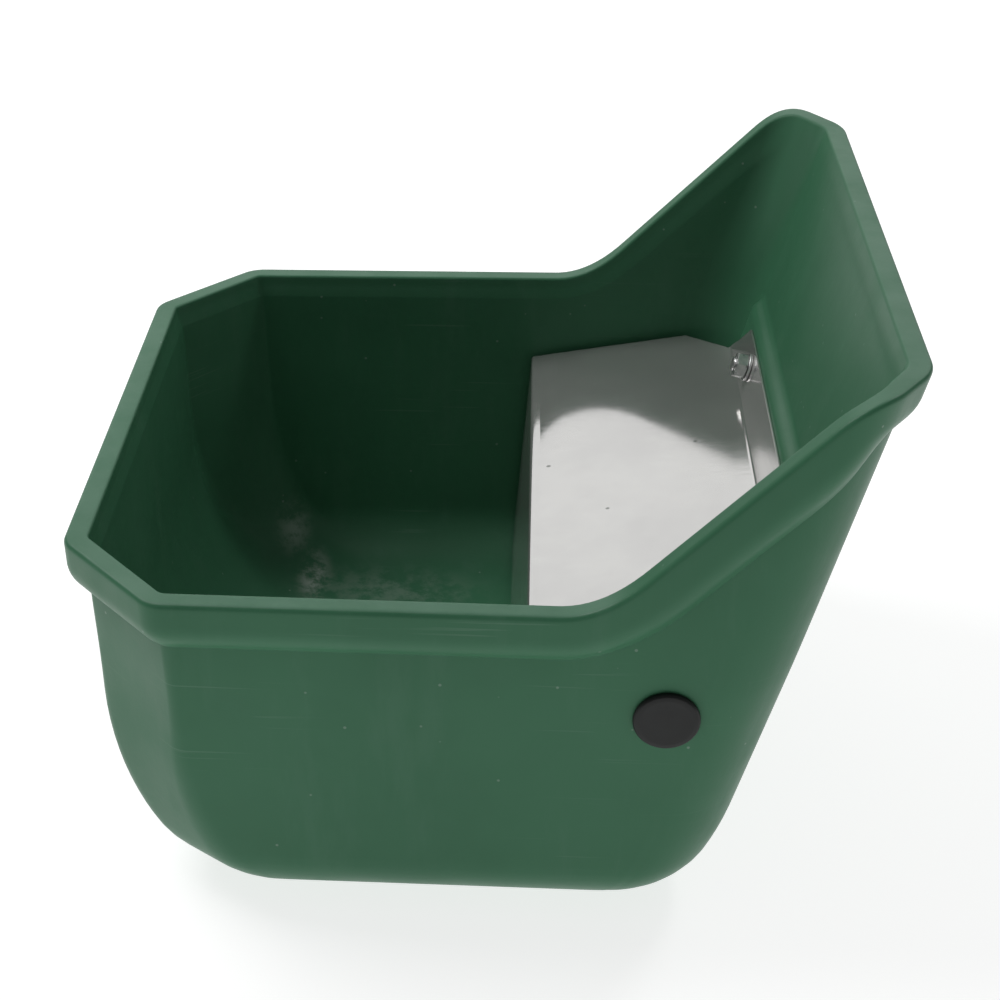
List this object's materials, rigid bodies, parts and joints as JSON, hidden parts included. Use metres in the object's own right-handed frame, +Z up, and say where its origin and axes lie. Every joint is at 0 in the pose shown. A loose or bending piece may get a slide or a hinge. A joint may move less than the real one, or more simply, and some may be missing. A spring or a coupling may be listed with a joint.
{
  "type": "float valve trough feeder",
  "caption": "Moulded livestock drinking trough with a raised back, a float valve under a bolted steel cover, and push-in blanking plugs in its side and back.",
  "frame": {"origin": "middle of the tank's flat underside, on the symmetry plane, midway between the front and the back of the rim", "axes": "+Z up, -X towards the animal at the low front, +X towards the raised back, +Y towards the side with the water inlet"},
  "size_m": [0.401, 0.4223, 0.302],
  "materials": {
    "green_polyethylene": "satin moulded polyethylene, lightly scuffed",
    "satin_stainless": "satin stainless steel",
    "bright_zinc": "bright zinc plate",
    "black_plastic": "moulded black plastic",
    "black_rubber": "matt rubber",
    "brass": "machined and cast brass",
    "white_nylon": "natural nylon",
    "float_polyethylene": "natural moulded polyethylene"
  },
  "bodies": {
    "trough": {"tank": "green_polyethylene", "cover": "satin_stainless", "cover_bolt_left": "bright_zinc", "cover_bolt_right": "bright_zinc", "cover_back_washer_left": "bright_zinc", "cover_back_washer_right": "bright_zinc", "cover_washer_left": "bright_zinc", "cover_washer_right": "bright_zinc", "cover_nut_left": "bright_zinc", "cover_nut_right": "bright_zinc", "valve_body": "brass", "valve_gasket": "black_rubber", "valve_washer": "white_nylon", "valve_locknut": "brass", "valve_seat": "white_nylon", "pivot_pin": "satin_stainless", "pivot_clip": "bright_zinc"},
    "float_arm": {"lever": "brass", "float_rod": "satin_stainless", "rod_locknut": "bright_zinc", "float": "float_polyethylene", "float_nut_inner": "bright_zinc", "float_nut_outer": "bright_zinc"},
    "valve_plunger": {"plunger": "white_nylon", "plunger_seal": "black_rubber"},
    "side_blanking_plug": {"side_plug": "black_plastic"},
    "rear_blanking_plug": {"rear_plug": "black_plastic"}
  },
  "joints": [
    {"name": "float_hinge", "type": "hinge", "parent": "trough", "child": "float_arm", "pos_m": [0.08875, 0.13039, 0.12741], "axis": [-1, 0, 0], "range_deg": [0, 30]},
    {"name": "plunger_slide", "type": "slide", "parent": "trough", "child": "valve_plunger", "axis": [0, 0.998, -0.0629], "range_m": [0, 0.004]},
    {"name": "side_plug_pull", "type": "slide", "parent": "trough", "child": "side_blanking_plug", "axis": [0, -0.998, -0.0629], "range_m": [0, 0.03]},
    {"name": "rear_plug_pull", "type": "slide", "parent": "trough", "child": "rear_blanking_plug", "axis": [0.9647, 0, -0.2634], "range_m": [0, 0.03]}
  ],
  "couplings": [
    {"joint": "plunger_slide", "follows": "float_hinge", "m_per_rad": 0.0076}
  ]
}
